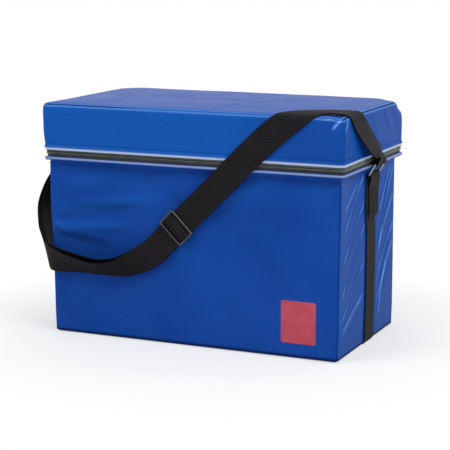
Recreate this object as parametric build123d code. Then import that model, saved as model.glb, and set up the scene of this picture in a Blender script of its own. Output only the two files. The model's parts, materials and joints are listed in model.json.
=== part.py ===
from build123d import *
import os
from math import acos, cos, hypot, pi, radians, sin

# Soft-sided specimen transport box: an insulated body, a deep lid that zips round the front and
# both sides and is hinged at the back, a cradle of webbing that runs under the body between two
# rings, and a shoulder strap with an adjuster, draped over the lid and the front.
# Millimetres. The origin is the middle of the base, +X to the right, +Y to the back, +Z up.

os.makedirs("parts", exist_ok=True)

# ---- driving dimensions ------------------------------------------------------------------------
body_width = 430.0           # X, outside the cover
body_depth = 236.0           # Y, outside the cover
lip_flare_start = 243.0      # Z, where the body's padded lip leaves the wall
lip_flare_height = 7.0       # from there to the lip's full reach
lip_face_height = 4.0        # upright face of the lip
rim_room = 5.0               # lip top to the foam's top edge
zip_band_height = 14.0       # from the lip to the lid's hem
lid_skirt_height = 62.0      # from the lid's hem to its top
overhang = 8.0               # the lip and the lid stand out past the body walls
corner_radius = 6.0          # body cover, upright and bottom edges
corner_growth = 0.3          # of an offset goes into its corner's radius: sewn corners stay tight
cavity_corner_radius = 4.0   # least radius of the corners inside
lid_edge_radius = 8.0        # lid cover, top edge

cover_thickness = 1.2        # coated cover fabric
base_thickness = 3.5         # fabric on a stiff board
foam_thickness = 20.0        # insulation boards of the body and the lid
liner_thickness = 1.0        # inner liner
layer_ease = 0.2             # room between layers that lie on each other

tape_thickness = 0.8         # zip tape
zip_channel = 2.0            # free depth behind the tape, for the slider's back plate
tape_meeting_gap = 0.9       # between the two tapes
tape_overlap = 7.0           # how far the upper tape runs up inside the skirt
coil_height = 2.7            # one half of the coil, across the band
coil_depth = 1.8             # how far the coil stands out from its tape
coil_gap = 0.6               # between the closed halves
stop_length = 4.0            # zip end stops

webbing_width = 38.0
webbing_thickness = 1.4
webbing_ease = 0.3           # webbing to a ring or a bar, and to what it lies on
webbing_centre_y = 8.0       # the cradle and both rings sit just behind the middle
cradle_tail_length = 60.0    # sewn-back end below each ring

ring_wire = 4.0              # diameter
ring_inner_length = 40.0     # along the webbing's width
ring_bar_spacing = 18.0      # between the centres of the two long bars
ring_bend_radius = 4.0       # centreline of the ring's corners
ring_below_lip = 5.0         # from the lip's flare down to the bar held by the cradle
ring_lean_right = 30.0       # degrees out from upright, as the strap holds it
ring_lean_left = 60.0

glide_bar = 3.0              # section of the adjuster's bars
glide_bar_rounding = 1.3
glide_length = 28.0          # along the strap, outside
glide_side_room = 0.5        # webbing edge to the side rail
glide_centre_x = -17.5
glide_centre_z = 167.0
glide_stand_off = 8.5        # centre bar's axis in front of the body's front wall
strap_slope = 45.0           # degrees, the strap's run through the adjuster

label_width = 50.0
label_height = 58.0
label_thickness = 0.4
label_corner_radius = 3.0
label_side_margin = 30.5     # label's edge to the right wall
label_base_margin = 21.5     # label's edge to the floor

slider_length = 14.0
slider_height = 11.0
slider_plate = 1.2
slider_post = 0.4            # blade between the coil halves
slider_post_length = 4.0
slider_park_y = 85.0         # middle of the slider, closed
bridge_length = 8.0
bridge_width = 3.0
bridge_wall = 1.2
bridge_opening = 2.4
pull_pin_radius = 0.8
pull_arm = 1.5
pull_arm_room = 0.3
pull_width = 8.0
pull_length = 26.0
pull_thickness = 1.6
pull_eye_room = 0.1          # fork's eye to the bridge
pull_hole_radius = 2.0

# ---- worked out from them ----------------------------------------------------------------------
half_width = body_width / 2
half_depth = body_depth / 2
seam_share = 1 - cos(radians(45))                       # a rounded edge is seamed at its middle
lip_flare_end = lip_flare_start + lip_flare_height
lip_top = lip_flare_end + lip_face_height
hem = lip_top + zip_band_height
lid_top = hem + lid_skirt_height
lid_seam = lid_top - lid_edge_radius * seam_share
zip_line = lip_top + zip_band_height / 2                # height of the meeting coils
foam_offset = -(cover_thickness + layer_ease)           # outer face of the body's foam

skirt_inner = overhang - cover_thickness
tape_outer = skirt_inner - layer_ease
tape_inner = tape_outer - tape_thickness
channel_inner = tape_inner - zip_channel - layer_ease
coil_outer = tape_outer + coil_depth

foam_top = lip_top + rim_room
body_flange = foam_top + layer_ease + liner_thickness
lid_flange = zip_line + (zip_line - body_flange)
lid_foam_bottom = lid_flange + liner_thickness + layer_ease
lid_board_top = lid_top - cover_thickness - layer_ease
lid_board_bottom = lid_board_top - foam_thickness
lid_step = hem + tape_overlap + 2 * layer_ease          # above the upper tape

cavity_offset = foam_offset - foam_thickness            # inner face of the body's foam
lid_cavity_offset = channel_inner - foam_thickness

ring_bar_height = lip_flare_start - ring_below_lip
label_centre_x = half_width - label_side_margin - label_width / 2
label_centre_z = label_base_margin + label_height / 2
loop_radius = ring_wire / 2 + webbing_ease + webbing_thickness / 2     # webbing round a ring bar
cradle_x = half_width + webbing_ease + webbing_thickness / 2
base_groove_depth = webbing_thickness + webbing_ease    # so the cradle is flush with the base
ring_bar_x = cradle_x + loop_radius
webbing_half = webbing_width / 2


# ---- helpers -----------------------------------------------------------------------------------
def outline_at(offset):
    """Rounded rectangle whose sides lie offset outside the body's walls."""
    radius = max(corner_radius + corner_growth * offset, cavity_corner_radius)
    return RectangleRounded(body_width + 2 * offset, body_depth + 2 * offset, radius)


def block(offset, bottom, top):
    """Upright block whose sides lie offset outside the body's walls."""
    return Pos(0, 0, bottom) * extrude(outline_at(offset), top - bottom)


def band(outer, inner, bottom, top):
    """Upright band between two offsets from the body's walls."""
    return block(outer, bottom, top) - block(inner, bottom - 1, top + 1)


def box_between(low, high):
    """Plain box from its lowest to its highest corner."""
    size = [b - a for a, b in zip(low, high)]
    middle = [(a + b) / 2 for a, b in zip(low, high)]
    return Pos(*middle) * Box(*size)


def body_form(offset):
    """The body's outer form, moved out by offset, with rounded upright and bottom edges."""
    solid = block(offset, -offset, lip_top)
    return fillet(solid.faces().sort_by(Axis.Z)[0].edges(), corner_radius + offset)


def lid_form(offset, bottom):
    """The lid's outer form, moved out by offset, with a rounded top edge."""
    solid = block(overhang + offset, bottom, lid_top + offset)
    return fillet(solid.faces().sort_by(Axis.Z)[-1].edges(), lid_edge_radius + offset)


def wedge(side, outer, inner_reach, bottom, top):
    """Room that holds one wall and half of each corner beside it, mitred at 45 degrees."""
    w, d = half_width + outer, half_depth + outer
    w_in, d_in = w - inner_reach, d - inner_reach
    corners = {
        "front": [(-w, -d), (w, -d), (w_in, -d_in), (-w_in, -d_in)],
        "back": [(-w, d), (w, d), (w_in, d_in), (-w_in, d_in)],
        "left": [(-w, -d), (-w, d), (-w_in, d_in), (-w_in, -d_in)],
        "right": [(w, -d), (w, d), (w_in, d_in), (w_in, -d_in)],
    }[side]
    outline = make_face(Polyline(*corners, close=True))
    return Pos(0, 0, bottom) * extrude(outline, (top - bottom) * outline.face().normal_at().Z)


def save(node, shape):
    """Write one sub-part."""
    shape.label = node
    export_step(shape, f"parts/{node}.step")


# ---- body --------------------------------------------------------------------------------------
def body_covers():
    """Four wall panels of cover fabric, seamed at the corners, under the lip."""
    shell = body_form(0) - body_form(-cover_thickness)
    reach = 3 * corner_radius + overhang
    panels = {}
    for side in ("front", "back", "left", "right"):
        node = f"{side}_panel" if side in ("front", "back") else f"{side}_side_panel"
        panels[node] = shell & wedge(side, 1, reach, base_thickness, lip_flare_start)
    return panels


def base_panel():
    """Base fabric on a stiff board, with the groove that the cradle webbing lies in."""
    slab = body_form(0) & box_between(
        (-body_width, -body_depth, 0), (body_width, body_depth, base_thickness)
    )
    groove_half = webbing_half + webbing_ease
    return slab - box_between(
        (-body_width, webbing_centre_y - groove_half, -1),
        (body_width, webbing_centre_y + groove_half, base_groove_depth),
    )


def body_foams():
    """Base board and four wall boards of insulation."""
    form = body_form(foam_offset)
    board_top = base_thickness + layer_ease + foam_thickness
    walls_bottom = board_top + layer_ease
    tall = form + block(foam_offset, lip_top - 1, foam_top)
    base = form & box_between(
        (-body_width, -body_depth, base_thickness + layer_ease),
        (body_width, body_depth, board_top),
    )
    walls = tall - block(cavity_offset, base_thickness, foam_top + 1)
    side_reach = half_depth + cavity_offset
    foams = {"base_foam": base}
    for side, sign in (("front", -1), ("back", 1)):
        room = box_between((-body_width, side_reach, walls_bottom), (body_width, body_depth, foam_top))
        foams[f"{side}_foam"] = walls & (room if sign > 0 else room.mirror(Plane.XZ))
    for side, sign in (("left", -1), ("right", 1)):
        room = box_between(
            (0, layer_ease - side_reach, walls_bottom), (body_width, side_reach - layer_ease, foam_top)
        )
        foams[f"{side}_foam"] = walls & (room if sign > 0 else room.mirror(Plane.YZ))
    return foams


def liner_tub():
    """Inner liner: floor, walls and a flange that covers the foam's top out to the zip."""
    outer = cavity_offset - layer_ease
    floor = base_thickness + foam_thickness + 3 * layer_ease
    tub = block(outer, floor, body_flange)
    flange = block(channel_inner - layer_ease, foam_top + layer_ease, body_flange)
    return tub + flange - block(outer - liner_thickness, floor + liner_thickness, body_flange + 1)


def rim_lip():
    """Padded lip round the mouth: it flares out to the zip and backs the lower tape."""
    flare = loft([
        Pos(0, 0, lip_flare_start) * outline_at(0),
        Pos(0, 0, lip_flare_end) * outline_at(overhang),
    ], ruled=True)
    lip = flare + block(overhang, lip_flare_end, lip_top)
    lip += block(channel_inner, lip_flare_end, foam_top)
    return lip - block(-cover_thickness, lip_flare_start - 1, foam_top + 1)


def hinge_tape():
    """Strip of cover fabric sewn across the back, from the lip to the lid's back skirt."""
    reach = half_width - corner_radius - stop_length - layer_ease
    back = half_depth + overhang
    return box_between(
        (-reach, back, lip_flare_end), (reach, back + tape_thickness, hem + lip_face_height)
    )


def label_patch():
    """Bare coloured patch sewn on the front."""
    outline = RectangleRounded(label_width, label_height, label_corner_radius)
    place = Plane((label_centre_x, -half_depth, label_centre_z), x_dir=(1, 0, 0), z_dir=(0, -1, 0))
    return extrude(place * outline, label_thickness)


# ---- zip ---------------------------------------------------------------------------------------
def open_at_back(strip):
    """Cut a band open between the rear corners, where the hinge tape is."""
    reach = half_width - corner_radius
    return strip - box_between(
        (-reach, half_depth - corner_radius, 0), (reach, body_depth, 2 * lid_top)
    )


def zip_parts():
    """Both tapes, both halves of the coil and the stops at their ends."""
    lower_coil_top = zip_line - coil_gap / 2
    upper_coil_bottom = zip_line + coil_gap / 2
    lower_tape = band(tape_outer, tape_inner, lip_top, zip_line - tape_meeting_gap / 2)
    upper_tape = band(tape_outer, tape_inner, zip_line + tape_meeting_gap / 2, hem + tape_overlap)
    lower_coil = band(coil_outer, tape_outer, lower_coil_top - coil_height, lower_coil_top)
    upper_coil = band(
        coil_outer, tape_outer, upper_coil_bottom, upper_coil_bottom + coil_height
    )
    end = half_width - corner_radius
    back = half_depth + tape_outer
    stops = {}
    for node, bottom in (
        ("lower_zip_stops", lower_coil_top - coil_height), ("upper_zip_stops", upper_coil_bottom)
    ):
        stop = box_between(
            (end - stop_length, back, bottom), (end, back + coil_depth, bottom + coil_height)
        )
        stops[node] = Compound([stop, stop.mirror(Plane.YZ)])
    return {
        "lower_zip_tape": open_at_back(lower_tape),
        "upper_zip_tape": open_at_back(upper_tape),
        "lower_zip_coil": open_at_back(lower_coil),
        "upper_zip_coil": open_at_back(upper_coil),
        **stops,
    }


def zip_slider():
    """Slider on the left side's straight run: two plates joined by a blade, and a bridge."""
    x = half_width
    low, high = slider_park_y - slider_length / 2, slider_park_y + slider_length / 2
    bottom, top = zip_line - slider_height / 2, zip_line + slider_height / 2
    back_inner = tape_inner - 2 * layer_ease - slider_plate
    front_inner = coil_outer + 2 * layer_ease
    back_plate = box_between((-x - back_inner - slider_plate, low, bottom), (-x - back_inner, high, top))
    front_plate = box_between(
        (-x - front_inner - slider_plate, low, bottom), (-x - front_inner, high, top)
    )
    front_plate = fillet(front_plate.edges().filter_by(Axis.X), 2 * slider_plate)
    post_half = slider_post_length / 2
    blade = box_between(
        (-x - front_inner - slider_plate / 2, slider_park_y - post_half, zip_line - slider_post / 2),
        (-x - back_inner - slider_plate / 2, slider_park_y + post_half, zip_line + slider_post / 2),
    )
    plate_face = front_inner + slider_plate
    bridge_reach = bridge_opening + bridge_wall
    bridge = box_between(
        (-x - plate_face - bridge_reach, slider_park_y - bridge_length / 2, zip_line - bridge_width / 2),
        (-x - plate_face + slider_plate / 2, slider_park_y + bridge_length / 2, zip_line + bridge_width / 2),
    )
    opening_half = bridge_length / 2 - bridge_wall
    bridge -= box_between(
        (-x - plate_face - bridge_opening, slider_park_y - opening_half, zip_line - bridge_width),
        (-x - plate_face, slider_park_y + opening_half, zip_line + bridge_width),
    )
    return back_plate + front_plate + blade + bridge


def pull_axis_x():
    """X of the pull's pin, midway in the bridge's opening."""
    return -(half_width + coil_outer + 2 * layer_ease + slider_plate + bridge_opening / 2)


def zip_pull():
    """Pull tab with a forked end and a pin through the slider's bridge."""
    x, y = pull_axis_x(), slider_park_y
    arm_inner = bridge_width / 2 + pull_arm_room
    arm_outer = arm_inner + pull_arm
    pin = Pos(x, y, zip_line) * Cylinder(pull_pin_radius, 2 * arm_outer)
    eye_radius = bridge_opening / 2 - pull_eye_room
    fork_reach = hypot(bridge_length / 2, bridge_opening / 2 + bridge_wall) + pull_arm_room
    fork = Pos(x, y, zip_line) * Cylinder(eye_radius, 2 * arm_outer)
    fork += box_between(
        (x - pull_thickness / 2, y - fork_reach - pull_arm, zip_line - arm_outer),
        (x + pull_thickness / 2, y, zip_line + arm_outer),
    )
    fork -= box_between(
        (x - bridge_opening, y - fork_reach, zip_line - arm_inner),
        (x + bridge_opening, y + bridge_opening, zip_line + arm_inner),
    )
    tab = box_between(
        (x - pull_thickness / 2, y - pull_length, zip_line - pull_width / 2),
        (x + pull_thickness / 2, y - fork_reach - pull_arm / 2, zip_line + pull_width / 2),
    )
    tab = fillet(tab.edges().filter_by(Axis.X), pull_thickness)
    hole = Pos(x, y - pull_length + pull_width / 2, zip_line) * Rot(0, 90, 0) * Cylinder(
        pull_hole_radius, 4 * pull_thickness
    )
    return pin + fork + tab - hole


# ---- lid ---------------------------------------------------------------------------------------
def lid_covers():
    """Top panel, front-and-sides skirt in one strip, and the back skirt between the corners."""
    shell = lid_form(0, hem) - lid_form(-cover_thickness, hem - 1)
    wide = (2 * body_width, 2 * body_depth)
    top = shell & box_between((-wide[0], -wide[1], lid_seam), (wide[0], wide[1], 2 * lid_top))
    skirt = shell & box_between((-wide[0], -wide[1], 0), (wide[0], wide[1], lid_seam))
    reach = half_width - corner_radius
    back_room = box_between((-reach, half_depth - corner_radius, 0), (reach, wide[1], 2 * lid_top))
    return {"lid_top_panel": top, "lid_skirt": skirt - back_room, "lid_back_skirt": skirt & back_room}


def lid_edges(node, form, low, high):
    """Four edge pieces cut from a form between two heights: long ones front and back, short between."""
    edges = form & box_between((-body_width, -body_depth, low), (body_width, body_depth, high))
    edges -= block(lid_cavity_offset, 0, lid_top)
    side_reach = half_depth + lid_cavity_offset
    pieces = {}
    for side, sign in (("front", -1), ("back", 1)):
        room = box_between((-body_width, side_reach, 0), (body_width, body_depth, lid_top))
        pieces[f"lid_{side}_{node}"] = edges & (room if sign > 0 else room.mirror(Plane.XZ))
    for side, sign in (("left", -1), ("right", 1)):
        room = box_between((0, layer_ease - side_reach, 0), (body_width, side_reach - layer_ease, lid_top))
        pieces[f"lid_{side}_{node}"] = edges & (room if sign > 0 else room.mirror(Plane.YZ))
    return pieces


def lid_foams():
    """Top board, four edge boards, and the narrower strips below them that clear the zip."""
    form = lid_form(foam_offset, lid_step)
    board = form & box_between(
        (-body_width, -body_depth, lid_board_bottom), (body_width, body_depth, lid_board_top)
    )
    edge_top = lid_board_bottom - layer_ease
    return {
        "lid_foam_board": board,
        **lid_edges("foam", form, lid_step, edge_top),
        **lid_edges("strip", block(channel_inner, lid_foam_bottom, lid_step), lid_foam_bottom, lid_step),
    }


def lid_liner():
    """Liner of the lid's hollow, with a flange over the edge boards."""
    outer = lid_cavity_offset - layer_ease
    ceiling = lid_board_bottom - layer_ease
    pan = block(outer, lid_flange, ceiling)
    flange = block(channel_inner - layer_ease, lid_flange, lid_flange + liner_thickness)
    return pan + flange - block(outer - liner_thickness, lid_flange - 1, ceiling - liner_thickness)


# ---- rings, adjuster and webbing ---------------------------------------------------------------
def ring_bars(side):
    """(X, Z) of a ring's cradle bar and strap bar; side is 1 on the right, -1 on the left."""
    lean = radians(ring_lean_right if side > 0 else ring_lean_left)
    inner = (side * ring_bar_x, ring_bar_height)
    outer = (
        side * (ring_bar_x + ring_bar_spacing * sin(lean)),
        ring_bar_height + ring_bar_spacing * cos(lean),
    )
    return inner, outer


def ring(side):
    """Rectangular wire ring, leaning out as the strap holds it."""
    inner, outer = ring_bars(side)
    along = Vector(outer[0] - inner[0], 0, outer[1] - inner[1]).normalized()
    middle = ((inner[0] + outer[0]) / 2, webbing_centre_y, (inner[1] + outer[1]) / 2)
    place = Plane(middle, x_dir=(0, 1, 0), z_dir=Vector(0, 1, 0).cross(along))
    path = RectangleRounded(
        ring_inner_length + ring_wire, ring_bar_spacing, ring_bend_radius
    ).wire()
    path = place * path
    start = path.edges().sort_by(Axis.Y)[len(path.edges()) // 2]
    section = Plane(start @ 0.5, z_dir=start % 0.5) * Circle(ring_wire / 2)
    return sweep(section, path)


def loop_round(bar, over_only=False):
    """Webbing loop round a ring's bar, whose (X, Z) is bar: all round, or over its top only."""
    half = webbing_thickness / 2
    loop = Circle(loop_radius + half) - Circle(loop_radius - half)
    if over_only:
        loop -= Pos(0, -loop_radius) * Rectangle(4 * loop_radius, 2 * loop_radius)
    place = Plane((bar[0], webbing_centre_y + webbing_half, bar[1]), x_dir=(1, 0, 0), z_dir=(0, -1, 0))
    return extrude(place * loop, webbing_width)


def flat_run(points):
    """Webbing along Y-wide straight runs through points given as (X, Z)."""
    place = Plane((0, webbing_centre_y + webbing_half, 0), x_dir=(1, 0, 0), z_dir=(0, -1, 0))
    return extrude(place * trace(Polyline(*points), webbing_thickness), webbing_width)


def cradle_webbing():
    """Webbing from ring to ring under the base, looped and sewn back at each ring."""
    centre_x = half_width - corner_radius
    corner_path = corner_radius + webbing_ease + webbing_thickness / 2
    groove_z = webbing_thickness / 2
    start_angle = acos((corner_radius - groove_z) / corner_path) - pi / 2
    steps = 6
    angles = [start_angle + (0 - start_angle) * i / steps for i in range(steps + 1)]
    corner = [
        (centre_x + corner_path * cos(a), corner_radius + corner_path * sin(a)) for a in angles
    ]
    tail_x = cradle_x + webbing_thickness + webbing_ease
    right = flat_run([(0, groove_z), *corner, (cradle_x, ring_bar_height)])
    right += loop_round(ring_bars(1)[0])
    right += flat_run([
        (ring_bar_x + loop_radius, ring_bar_height),
        (ring_bar_x + loop_radius, ring_bar_height - 2 * loop_radius),
        (tail_x, ring_bar_height - 5 * loop_radius),
        (tail_x, ring_bar_height - cradle_tail_length),
    ])
    return right + right.mirror(Plane.YZ)


glide_centre = Vector(glide_centre_x, -half_depth - glide_stand_off, glide_centre_z)
glide_along = Vector(-cos(radians(strap_slope)), 0, -sin(radians(strap_slope)))
glide_across = Vector(sin(radians(strap_slope)), 0, -cos(radians(strap_slope)))


def tri_glide():
    """Adjuster: a frame with two slots and a bar between them."""
    place = Plane(glide_centre, x_dir=glide_across, z_dir=(0, -1, 0))
    inner_width = webbing_width + 2 * glide_side_room
    outer_width = inner_width + 2 * glide_bar
    slot = (glide_length - 3 * glide_bar) / 2
    frame = Box(outer_width, glide_length, glide_bar)
    for sign in (-1, 1):
        frame -= Pos(0, sign * (glide_bar + slot) / 2, 0) * Box(inner_width, slot, 2 * glide_bar)
    corners = frame.edges().filter_by(Axis.Z).group_by(SortBy.DISTANCE)[-1]
    frame = fillet(corners, glide_bar)
    lengthwise = frame.edges().filter_by(Axis.X)
    frame = fillet(lengthwise, glide_bar_rounding)
    return place * frame


def strip(stations, lead=None, follow=None):
    """Webbing lofted through (centre, ruling) stations.

    A ruling runs from the strap's rear or upper edge to its front or lower edge. Its length
    follows from the webbing's width and from how far it is out of square to the run. lead and
    follow are the neighbouring stations of the runs that it is cut from.
    """
    faces = []
    places = [lead or stations[0], *stations, follow or stations[-1]]
    for i, (centre, ruling) in enumerate(stations):
        run = (Vector(*places[i + 2][0]) - Vector(*places[i][0])).normalized()
        across = Vector(*ruling).normalized()
        square = across.cross(run)
        half = across * (webbing_half / square.length)
        rise = square.normalized() * (webbing_thickness / 2)
        middle = Vector(*centre)
        corners = [middle + half + rise, middle - half + rise, middle - half - rise, middle + half - rise]
        faces.append(Face(Wire.make_polygon(corners, close=True)))
    return loft(faces, ruled=True)


# Where the draped strap crosses the lid's edges, and how it runs from there. It stands this far
# off what it lies on, to the middle of its thickness.
strap_lift = 1.5
side_x = half_width + overhang
front_y = half_depth + overhang
right_crossing_y = -80.0      # strap's middle at the lid's right edge
front_crossing_x = 155.0      # and at its front edge
side_slip = 0.868             # Y per unit of height on the lid's side, and of X on its top
front_slip = 1.18             # X per unit of height on the lid's front
fold_steps = 4


def strap_over_lid():
    """From the right ring up the lid's side, over its top and round its front edge."""
    bar = ring_bars(1)[1]
    turn = lid_edge_radius + strap_lift
    edge_x, edge_y, edge_z = side_x - lid_edge_radius, front_y - lid_edge_radius, lid_top - lid_edge_radius
    y = right_crossing_y
    rise = [
        ((bar[0] + loop_radius, webbing_centre_y, bar[1]), (0, -1, 0)),
        ((side_x + 9.0, webbing_centre_y - 4, bar[1] + 9), (0.30, -0.95, -0.10)),
        ((side_x + 7.5, y + 66, bar[1] + 21), (0.22, -0.93, -0.30)),
        ((side_x + 5.5, y + 37, lid_top - 36), (0.15, -0.85, -0.50)),
        ((side_x + 3.0, y + 20, lid_top - 21), (0.06, -0.95, -0.30)),
    ]
    fold = []
    for i in range(fold_steps + 1):
        a = radians(90) * i / fold_steps
        place = (edge_x + turn * cos(a), y - side_slip * turn * (a - radians(45)), edge_z + turn * sin(a))
        fold.append((place, (0, -1, 0)))
    front_fold = []
    x = front_crossing_x
    for i in range(fold_steps + 1):
        a = radians(90) * i / fold_steps
        place = (x - front_slip * turn * (a - radians(45)), -edge_y - turn * sin(a), edge_z + turn * cos(a))
        front_fold.append((place, (1, 0, 0)))
    return rise + fold + front_fold


def strap_front_run():
    """From the lid's front edge down to the adjuster, over its middle bar and just past it."""
    start, ruling = strap_over_lid()[-1]
    lean = glide_centre.Y
    run = [
        (start, ruling),
        ((121.5, -front_y - strap_lift - 0.5, lid_top - 29), (0.80, 0, -0.60)),
        ((86.0, -front_y - strap_lift - 1.0, hem), (0.72, 0, -0.69)),
        ((52.0, -front_y - strap_lift - 0.6, 234.0), (0.71, 0, -0.71)),
        ((20.0, -front_y - strap_lift + 0.6, 203.0), (0.70, 0, -0.71)),
    ]
    over = webbing_ease + webbing_thickness / 2 + glide_bar / 2
    hump = over + webbing_thickness + webbing_ease
    weave = [
        (-18, over), (-11, over), (-5, -over), (-2, -hump), (2, -hump), (5, -over), (11, over), (18, over)
    ]
    for along, back in weave:
        place = glide_centre + glide_along * along
        run.append(((place.X, lean + back, place.Z), tuple(glide_across)))
    return run


def strap_lower_run():
    """Outer layer from the adjuster, round the front left corner and up to the left ring."""
    start, ruling = strap_front_run()[-1]
    bar = ring_bars(-1)[1]
    f, s = -half_depth, -half_width
    return [
        (start, ruling),
        ((-49.5, f - 7.8, 134.0), (0.72, 0.08, -0.69)),
        ((-73.0, f - 14.0, 116.5), (0.50, 0.42, -0.75)),
        ((-99.0, f - 20.0, 105.5), (0.20, 0.70, -0.68)),
        ((-130.0, f - 22.0, 102.5), (0.00, 0.80, -0.60)),
        ((s + 47, f - 20.5, 105.5), (0.00, 0.70, -0.71)),
        ((s + 20, f - 19.0, 108.0), (0.02, 0.45, -0.89)),
        ((s + 0.5, f - 14.0, 111.0), (0.12, 0.18, -0.98)),
        ((s - 15, f + 2.5, 119.0), (0.25, 0.05, -0.97)),
        ((s - 34, f + 32, 139.0), (0.15, 0.60, -0.78)),
        ((s - 49, f + 60, 169.0), (0.06, 0.79, -0.61)),
        ((s - 47, f + 86, 202.0), (0.04, 0.84, -0.54)),
        ((s - 35, f + 110, 229.0), (0.00, 0.95, -0.30)),
        ((bar[0] - loop_radius - 3, webbing_centre_y - 1, bar[1] - 7), (0.00, 1.00, -0.05)),
        ((bar[0] - loop_radius, webbing_centre_y, bar[1]), (0, 1, 0)),
    ]


# Gap from the outer layer's middle to the return layer's, at each of the outer layer's stations.
return_spacing = [2.1, 2.4, 3.2, 5.0, 6.5, 6.5, 5.5, 5.0, 6.5, 7.0, 7.0, 7.0, 6.6]


def strap_return_run():
    """Inner layer from the adjuster's middle bar, behind the outer layer, to the left ring."""
    outer = strap_lower_run()
    bar = ring_bars(-1)[1]
    behind = glide_bar / 2 + webbing_ease + webbing_thickness / 2
    run = []
    for along, back in ((0, behind), (8, 1.8 * behind)):
        place = glide_centre + glide_along * along
        run.append(((place.X, place.Y + back, place.Z), tuple(glide_across)))
    for i, spacing in enumerate(return_spacing):
        centre, ruling = outer[i]
        before, after = Vector(*outer[max(i - 1, 0)][0]), Vector(*outer[i + 1][0])
        inward = Vector(*ruling).cross(after - before).normalized()
        run.append((tuple(Vector(*centre) + inward * spacing), ruling))
    inner_side = bar[0] + loop_radius
    run.append(((inner_side - 1, webbing_centre_y - 1, bar[1] - 3.5 * loop_radius), (0, 1, 0)))
    run.append(((inner_side, webbing_centre_y, bar[1] - 2 * loop_radius), (0, 1, 0)))
    run.append(((inner_side, webbing_centre_y, bar[1]), (0, 1, 0)))
    return run


def bar_loop():
    """The return layer's end, looped round the adjuster's middle bar."""
    centreline = glide_bar / 2 + webbing_ease + webbing_thickness / 2
    half = webbing_thickness / 2
    loop = Circle(centreline + half) - Circle(centreline - half)
    place = Plane(glide_centre - glide_across * webbing_half, z_dir=glide_across)
    return extrude(place * loop, webbing_width)


def shoulder_strap():
    """The strap's four runs, cut where they meet, with the loops at both rings and the bar."""
    over, front, lower = strap_over_lid(), strap_front_run(), strap_lower_run()
    return {
        "strap_over_lid": strip(over, follow=front[1]) + loop_round(ring_bars(1)[1]),
        "strap_front_run": strip(front, lead=over[-2], follow=lower[1]),
        "strap_lower_run": strip(lower, lead=front[-2]) + loop_round(ring_bars(-1)[1], over_only=True),
        "strap_return_run": strip(strap_return_run()) + bar_loop(),
    }


# ---- write every sub-part ----------------------------------------------------------------------
for node, shape in {
    **body_covers(),
    "base_panel": base_panel(),
    **body_foams(),
    "liner_tub": liner_tub(),
    "rim_lip": rim_lip(),
    "hinge_tape": hinge_tape(),
    "label_patch": label_patch(),
    **zip_parts(),
    "zip_slider": zip_slider(),
    "zip_pull": zip_pull(),
    **lid_covers(),
    **lid_foams(),
    "lid_liner": lid_liner(),
    "ring_right": ring(1),
    "ring_left": ring(-1),
    "cradle_webbing": cradle_webbing(),
    "tri_glide": tri_glide(),
    **shoulder_strap(),
}.items():
    save(node, shape)

strap_length = 0
for run in (strap_over_lid(), strap_front_run(), strap_lower_run(), strap_return_run()):
    strap_length += sum((Vector(*b[0]) - Vector(*a[0])).length for a, b in zip(run, run[1:]))
print(f"shoulder strap, ring to ring and back to the adjuster: {strap_length:.0f} mm")
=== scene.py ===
import json
from math import cos, pi, radians, sin

import bpy
import numpy as np
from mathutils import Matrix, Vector

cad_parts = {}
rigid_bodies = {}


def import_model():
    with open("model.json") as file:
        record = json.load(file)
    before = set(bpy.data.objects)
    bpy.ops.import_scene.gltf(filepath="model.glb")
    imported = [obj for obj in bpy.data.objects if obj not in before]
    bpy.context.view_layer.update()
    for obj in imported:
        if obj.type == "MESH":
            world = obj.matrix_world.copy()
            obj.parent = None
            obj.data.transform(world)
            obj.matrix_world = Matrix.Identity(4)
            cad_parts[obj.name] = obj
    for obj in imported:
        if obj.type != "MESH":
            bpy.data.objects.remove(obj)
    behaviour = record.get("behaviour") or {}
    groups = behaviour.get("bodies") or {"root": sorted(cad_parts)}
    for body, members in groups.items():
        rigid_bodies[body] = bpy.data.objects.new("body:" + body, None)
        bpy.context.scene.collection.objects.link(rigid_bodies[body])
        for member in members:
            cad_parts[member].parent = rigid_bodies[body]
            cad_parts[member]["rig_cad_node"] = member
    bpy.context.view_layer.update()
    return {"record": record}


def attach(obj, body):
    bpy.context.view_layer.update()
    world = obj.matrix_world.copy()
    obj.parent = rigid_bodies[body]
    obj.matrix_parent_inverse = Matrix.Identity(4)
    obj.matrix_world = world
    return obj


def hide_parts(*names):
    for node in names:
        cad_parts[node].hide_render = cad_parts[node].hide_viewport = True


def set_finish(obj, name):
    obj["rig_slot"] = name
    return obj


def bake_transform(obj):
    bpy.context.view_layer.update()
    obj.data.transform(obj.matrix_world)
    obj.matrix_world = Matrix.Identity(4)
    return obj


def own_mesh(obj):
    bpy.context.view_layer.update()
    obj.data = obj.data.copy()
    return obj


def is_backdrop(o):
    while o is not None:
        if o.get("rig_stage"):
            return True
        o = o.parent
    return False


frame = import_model()

# Soft-sided specimen transport box: cloth, webbing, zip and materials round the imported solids.
# Shapes are worked out in millimetres in the CAD frame and scaled to metres once, in add_mesh.
MM = 0.001

# ---- sizes, as in the part's source ----
half_width, half_depth = 215.0, 118.0
corner_radius, corner_growth = 6.0, 0.3
overhang = 8.0
base_thickness = 3.5
lip_bottom, hem, lid_top = 243.0, 268.0, 330.0
lid_edge_radius = 8.0
tape_inner, tape_outer = 5.8, 6.6
cover_thickness = 1.2
webbing_half, webbing_thickness = 19.0, 1.4
webbing_y = 8.0
loop_radius = 3.0
ring_bar = (219.0, 238.0)
right_bar = (228.0, 253.59)
left_bar = (-234.59, 247.0)
glide_centre = np.array([-17.5, -126.5, 167.0])
glide_along = np.array([-1.0, 0, -1.0]) / 2 ** 0.5
glide_across = np.array([1.0, 0, -1.0]) / 2 ** 0.5
label_centre, label_size, label_corner = (159.5, 50.5), (50.0, 58.0), 3.0

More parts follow.
